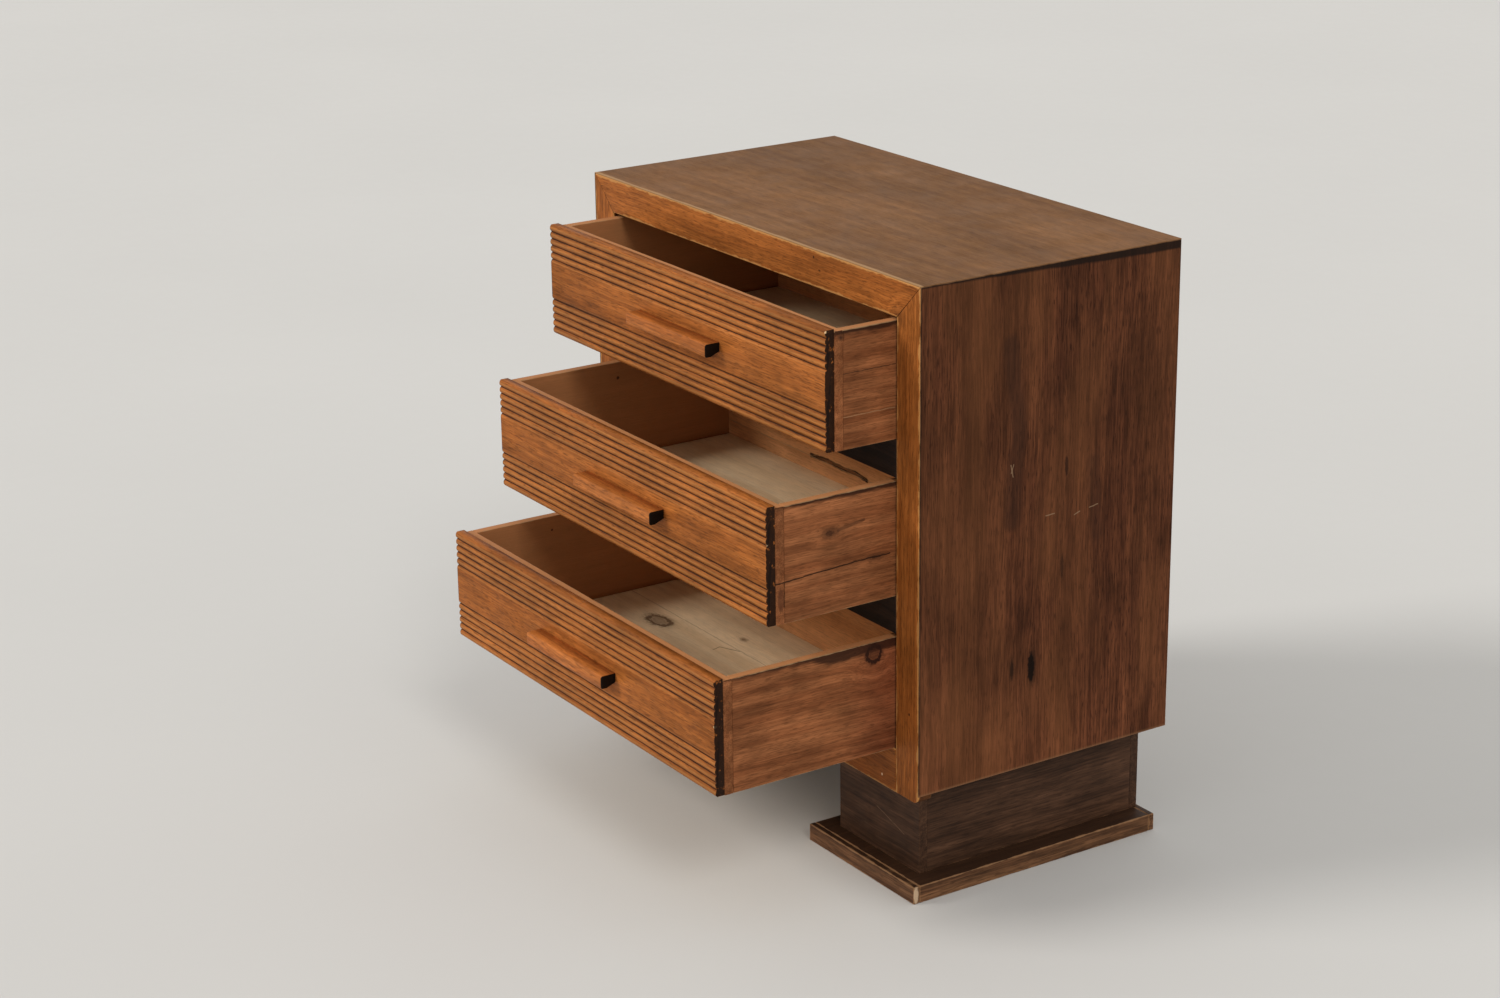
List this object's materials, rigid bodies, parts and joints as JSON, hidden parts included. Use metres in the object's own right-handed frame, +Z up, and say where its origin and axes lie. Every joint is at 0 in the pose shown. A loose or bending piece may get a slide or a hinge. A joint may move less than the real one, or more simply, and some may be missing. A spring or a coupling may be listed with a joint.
{
  "type": "chest of drawers",
  "caption": "Low wooden chest of drawers with reeded drawer fronts and bar pulls, in a mitred front frame on sled feet; its drawers slide out on wooden runners.",
  "frame": {"origin": "on the floor, under the middle of the case's footprint, midway between the two feet", "axes": "+Z up, -Y out of the drawer fronts, X across the chest"},
  "size_m": [0.7, 0.635, 0.746],
  "materials": {
    "side_veneer": "dark red-brown veneer, upright grain, satin varnish",
    "top_veneer": "mid-brown veneer, grain along the width, worn satin varnish",
    "frame_wood": "orange-brown solid wood, satin varnish",
    "dark_rail": "solid wood stained nearly black",
    "case_board": "plain softwood core, unfinished",
    "back_board": "plain plywood, unfinished",
    "runner_wood": "plain hardwood strips, waxed by use",
    "foot_wood": "dark brown wood, satin varnish, worn edges",
    "drawer_facing": "warm orange-brown wood, reeded, satin varnish",
    "drawer_box": "warm brown solid wood, oiled",
    "drawer_bottom": "pale bare plywood",
    "pull_wood": "orange-brown solid wood, polished by hands",
    "screw_steel": "plain steel screws"
  },
  "bodies": {
    "case": {"left_side_veneer": "side_veneer", "right_side_veneer": "side_veneer", "top_veneer": "top_veneer", "left_stile": "frame_wood", "right_stile": "frame_wood", "top_rail": "frame_wood", "bottom_rail": "frame_wood", "upper_drawer_rail": "dark_rail", "lower_drawer_rail": "dark_rail", "top_panel": "case_board", "bottom_panel": "case_board", "left_side_panel": "case_board", "right_side_panel": "case_board", "back_panel": "back_board", "drawer_guides": "runner_wood", "top_kickers": "runner_wood", "drawer_stops": "runner_wood", "upper_left_runner": "runner_wood", "upper_right_runner": "runner_wood", "middle_left_runner": "runner_wood", "middle_right_runner": "runner_wood", "lower_left_runner": "runner_wood", "lower_right_runner": "runner_wood", "left_foot_plate": "foot_wood", "left_foot_outer_board": "foot_wood", "left_foot_inner_board": "foot_wood", "left_foot_front_board": "foot_wood", "left_foot_back_board": "foot_wood", "right_foot_plate": "foot_wood", "right_foot_outer_board": "foot_wood", "right_foot_inner_board": "foot_wood", "right_foot_front_board": "foot_wood", "right_foot_back_board": "foot_wood", "foot_lippings": "foot_wood", "foot_screws": "screw_steel", "back_screws": "screw_steel"},
    "upper_drawer": {"upper_facing": "drawer_facing", "upper_box_front": "drawer_box", "upper_left_side": "drawer_box", "upper_right_side": "drawer_box", "upper_back": "drawer_box", "upper_bottom": "drawer_bottom", "upper_pull": "pull_wood", "upper_pull_screws": "screw_steel"},
    "middle_drawer": {"middle_facing": "drawer_facing", "middle_box_front": "drawer_box", "middle_left_side": "drawer_box", "middle_right_side": "drawer_box", "middle_back": "drawer_box", "middle_bottom": "drawer_bottom", "middle_pull": "pull_wood", "middle_pull_screws": "screw_steel"},
    "lower_drawer": {"lower_facing": "drawer_facing", "lower_box_front": "drawer_box", "lower_left_side": "drawer_box", "lower_right_side": "drawer_box", "lower_back": "drawer_box", "lower_bottom": "drawer_bottom", "lower_pull": "pull_wood", "lower_pull_screws": "screw_steel"}
  },
  "joints": [
    {"name": "upper_drawer_slide", "type": "slide", "parent": "case", "child": "upper_drawer", "axis": [0, -1, 0], "range_m": [-0.094, 0.186]},
    {"name": "middle_drawer_slide", "type": "slide", "parent": "case", "child": "middle_drawer", "axis": [0, -1, 0], "range_m": [-0.174, 0.106]},
    {"name": "lower_drawer_slide", "type": "slide", "parent": "case", "child": "lower_drawer", "axis": [0, -1, 0], "range_m": [-0.245, 0.035]}
  ]
}
